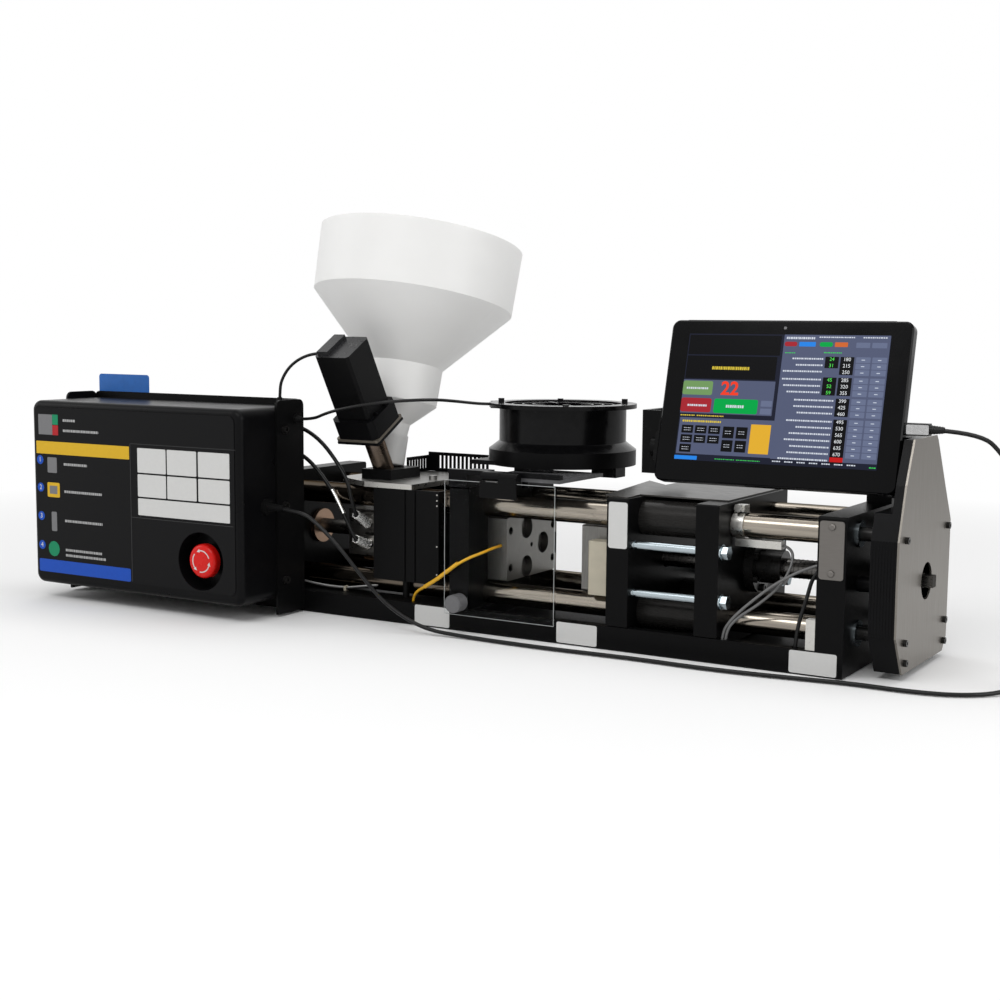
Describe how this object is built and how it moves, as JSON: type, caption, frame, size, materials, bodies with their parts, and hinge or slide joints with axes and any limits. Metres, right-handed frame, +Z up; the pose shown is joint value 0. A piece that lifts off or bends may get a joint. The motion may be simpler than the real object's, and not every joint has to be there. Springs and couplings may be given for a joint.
{
  "type": "desktop injection moulding machine",
  "caption": "Desktop injection moulding machine: horizontal screw clamp, plunger injection unit with hopper feeder, control box, mould fan, guard door and operator tablet.",
  "frame": {"origin": "centre of the base plate's underside, below the machine axis", "axes": "+X along the machine towards the clamp drive, front facing -Y, +Z up"},
  "size_m": [1.1905, 0.3803, 0.4704],
  "materials": {
    "black_anodised": "satin",
    "black_steel": "satin",
    "polished_steel": "polished",
    "ground_steel": "ground",
    "stainless": "brushed",
    "zinc": "zinc plated",
    "aluminium": "milled",
    "brass": "turned",
    "black_plastic": "moulded",
    "gloss_black": "gloss",
    "white_plastic": "translucent white",
    "cream_plastic": "moulded",
    "clear": "clear",
    "red_plastic": "gloss",
    "rubber": "matte",
    "panel_print": "printed",
    "blue_plastic": "gloss",
    "cord": "matte"
  },
  "bodies": {
    "frame": {"base_plate": "black_anodised", "stationary_platen": "black_anodised", "end_block": "black_anodised", "injection_guide_plate": "black_anodised", "injection_rear_plate": "black_anodised", "clamp_tie_rods": "polished_steel", "injection_tie_rods": "polished_steel", "frame_fasteners": "black_steel", "drive_cover": "black_plastic", "drive_cover_plate": "stainless", "clamp_motor": "black_steel", "drive_belt": "rubber", "screw_bearing": "ground_steel", "fixed_mould_half": "aluminium", "barrel": "ground_steel", "heater_bands": "stainless", "plunger_bushing": "brass", "injection_motor": "black_steel", "shroud": "black_steel", "shroud_top_plate": "aluminium", "heat_shield": "black_steel", "feeder_motor": "black_steel", "feeder_flange_block": "black_plastic", "hopper": "white_plastic", "feed_neck": "stainless", "fan_housing": "black_plastic", "fan_mount_plate": "black_steel", "guard_top": "black_plastic", "control_box_shell": "black_plastic", "control_box_chassis": "black_steel", "control_panel": "panel_print", "estop_switch": "black_plastic", "cable_glands": "black_plastic", "lifting_tag": "blue_plastic", "tablet_arm": "black_steel", "position_sensor": "ground_steel", "rating_plate": "stainless", "usb_cord": "cord", "box_cords": "cord", "sensor_cords": "cord"},
    "clamp_carriage": {"moving_platen": "black_anodised", "carriage_plate": "black_anodised", "guide_sleeves": "black_steel", "spacer_studs": "zinc", "ball_nut": "black_steel", "moving_mould_half": "aluminium", "mould_side_bracket": "cream_plastic", "carriage_cover": "aluminium"},
    "clamp_screw": {"clamp_ball_screw": "ground_steel", "screw_pulley": "aluminium"},
    "motor_pulley": {"motor_pulley": "aluminium"},
    "injection_crosshead": {"plunger_crosshead": "ground_steel"},
    "injection_screw": {"injection_screw": "ground_steel"},
    "feeder_auger": {"feeder_auger": "ground_steel"},
    "fan_impeller": {"fan_impeller": "black_plastic"},
    "estop_button": {"estop_button": "red_plastic"},
    "guard_door": {"guard_pane": "clear"},
    "tablet": {"tablet": "gloss_black", "tablet_holder": "black_steel", "tablet_plugs": "black_plastic"}
  },
  "joints": [
    {"name": "clamp_slide", "type": "slide", "parent": "frame", "child": "clamp_carriage", "axis": [1, 0, 0], "range_m": [-0.0948, 0]},
    {"name": "clamp_screw_spin", "type": "hinge", "parent": "frame", "child": "clamp_screw", "pos_m": [0.5, 0, 0.09], "axis": [1, 0, 0], "range_deg": [-3423, 10]},
    {"name": "motor_pulley_spin", "type": "hinge", "parent": "frame", "child": "motor_pulley", "pos_m": [0.54, 0.008, 0.207], "axis": [1, 0, 0], "range_deg": [-7334, 20]},
    {"name": "plunger_slide", "type": "slide", "parent": "frame", "child": "injection_crosshead", "axis": [1, 0, 0], "range_m": [0, 0.058]},
    {"name": "injection_screw_spin", "type": "hinge", "parent": "frame", "child": "injection_screw", "pos_m": [-0.35, 0, 0.09], "axis": [1, 0, 0], "range_deg": [-10, 4186]},
    {"name": "auger_spin", "type": "hinge", "parent": "frame", "child": "feeder_auger", "pos_m": [-0.086, -0.0768, 0.2433], "axis": [0, 0.5, -0.866], "continuous": true},
    {"name": "fan_spin", "type": "hinge", "parent": "frame", "child": "fan_impeller", "pos_m": [0.1135, 0.0445, 0.22], "axis": [0, 0, 1], "continuous": true},
    {"name": "estop_push", "type": "slide", "parent": "frame", "child": "estop_button", "axis": [0, 1, 0], "range_m": [0, 0.006]},
    {"name": "guard_hinge", "type": "hinge", "parent": "frame", "child": "guard_door", "pos_m": [0.12, -0.107, 0.178], "axis": [-1, 0, 0], "range_deg": [0, 90]},
    {"name": "tablet_tilt", "type": "hinge", "parent": "frame", "child": "tablet", "pos_m": [0.33, -0.017, 0.212], "axis": [1, 0, 0], "range_deg": [-15, 5], "deforming": ["usb_cord"]}
  ],
  "couplings": [
    {"joint": "clamp_screw_spin", "follows": "clamp_slide", "rad_per_m": 628.32},
    {"joint": "motor_pulley_spin", "follows": "clamp_slide", "rad_per_m": 1346.4},
    {"joint": "injection_screw_spin", "follows": "plunger_slide", "rad_per_m": 1256.6}
  ]
}
